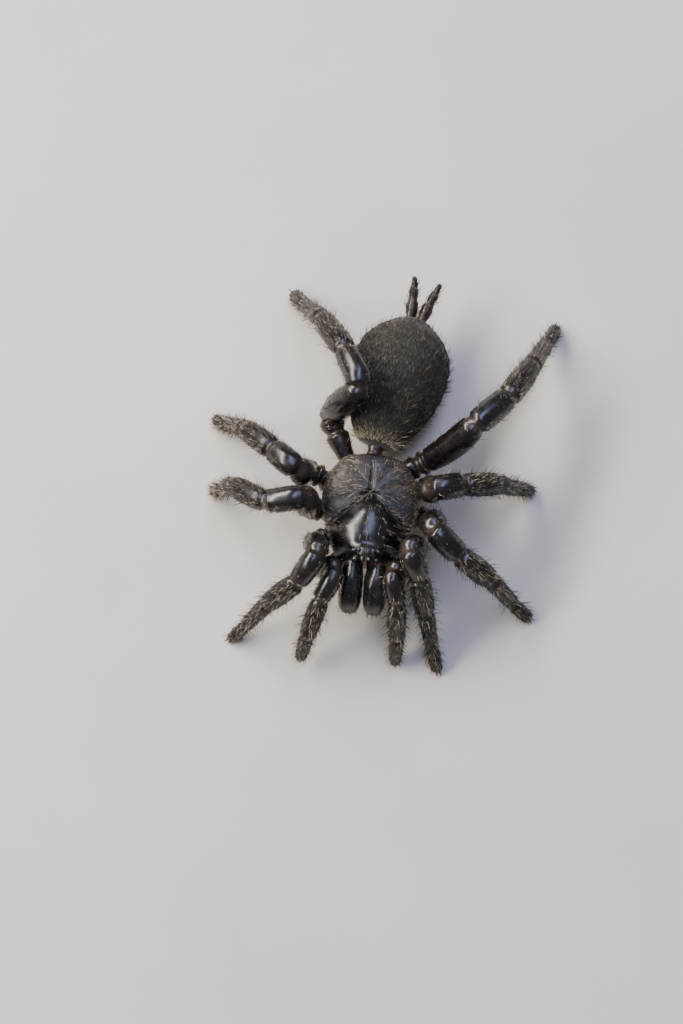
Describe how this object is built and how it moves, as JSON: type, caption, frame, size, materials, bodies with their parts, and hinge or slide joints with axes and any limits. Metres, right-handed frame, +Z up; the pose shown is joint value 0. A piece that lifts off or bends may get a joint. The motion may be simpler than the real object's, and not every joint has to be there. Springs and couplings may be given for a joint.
{
  "type": "adelaide funnel-web spider model",
  "caption": "Life-size still model of a glossy black female funnel-web spider standing on its feet, abdomen turned a little to its left, stout palps held forward.",
  "frame": {"origin": "on the floor under the middle of the whole spider's box, legs included", "axes": "+Z up, the head towards -Y, the spider's left towards +X, the abdomen and spinnerets towards +Y"},
  "size_m": [0.0268, 0.0306, 0.0094],
  "materials": {
    "black_shell": "glossy black cuticle with fine hairs",
    "brown_shell": "satin dark reddish-brown cuticle",
    "velvet_skin": "matt plum-black skin with a short velvety coat",
    "fang": "polished red-black",
    "eye": "polished dark lens"
  },
  "bodies": {
    "root": {"carapace": "black_shell", "sternum": "brown_shell", "abdomen": "velvet_skin", "chelicera_R": "black_shell", "chelicera_L": "black_shell", "fang_R": "fang", "fang_L": "fang", "eye_front_middle_R": "eye", "eye_front_middle_L": "eye", "eye_front_side_R": "eye", "eye_front_side_L": "eye", "eye_rear_middle_R": "eye", "eye_rear_middle_L": "eye", "eye_rear_side_R": "eye", "eye_rear_side_L": "eye", "spinneret_long_R": "brown_shell", "spinneret_long_L": "brown_shell", "spinneret_short_R": "brown_shell", "spinneret_short_L": "brown_shell", "leg_R1_coxa": "brown_shell", "leg_R1_femur": "black_shell", "leg_R1_patella_tibia": "black_shell", "leg_R1_foot": "black_shell", "leg_R2_coxa": "brown_shell", "leg_R2_femur": "black_shell", "leg_R2_patella_tibia": "black_shell", "leg_R2_foot": "black_shell", "leg_R3_coxa": "brown_shell", "leg_R3_femur": "black_shell", "leg_R3_patella_tibia": "black_shell", "leg_R3_foot": "black_shell", "leg_R4_coxa": "brown_shell", "leg_R4_femur": "black_shell", "leg_R4_patella_tibia": "black_shell", "leg_R4_foot": "black_shell", "leg_L1_coxa": "brown_shell", "leg_L1_femur": "black_shell", "leg_L1_patella_tibia": "black_shell", "leg_L1_foot": "black_shell", "leg_L2_coxa": "brown_shell", "leg_L2_femur": "black_shell", "leg_L2_patella_tibia": "black_shell", "leg_L2_foot": "black_shell", "leg_L3_coxa": "brown_shell", "leg_L3_femur": "black_shell", "leg_L3_patella_tibia": "black_shell", "leg_L3_foot": "black_shell", "leg_L4_coxa": "brown_shell", "leg_L4_femur": "black_shell", "leg_L4_patella_tibia": "black_shell", "leg_L4_foot": "black_shell", "palp_R_coxa": "brown_shell", "palp_R_femur": "black_shell", "palp_R_patella_tibia": "black_shell", "palp_R_tarsus": "black_shell", "palp_L_coxa": "brown_shell", "palp_L_femur": "black_shell", "palp_L_patella_tibia": "black_shell", "palp_L_tarsus": "black_shell"}
  },
  "joints": []
}
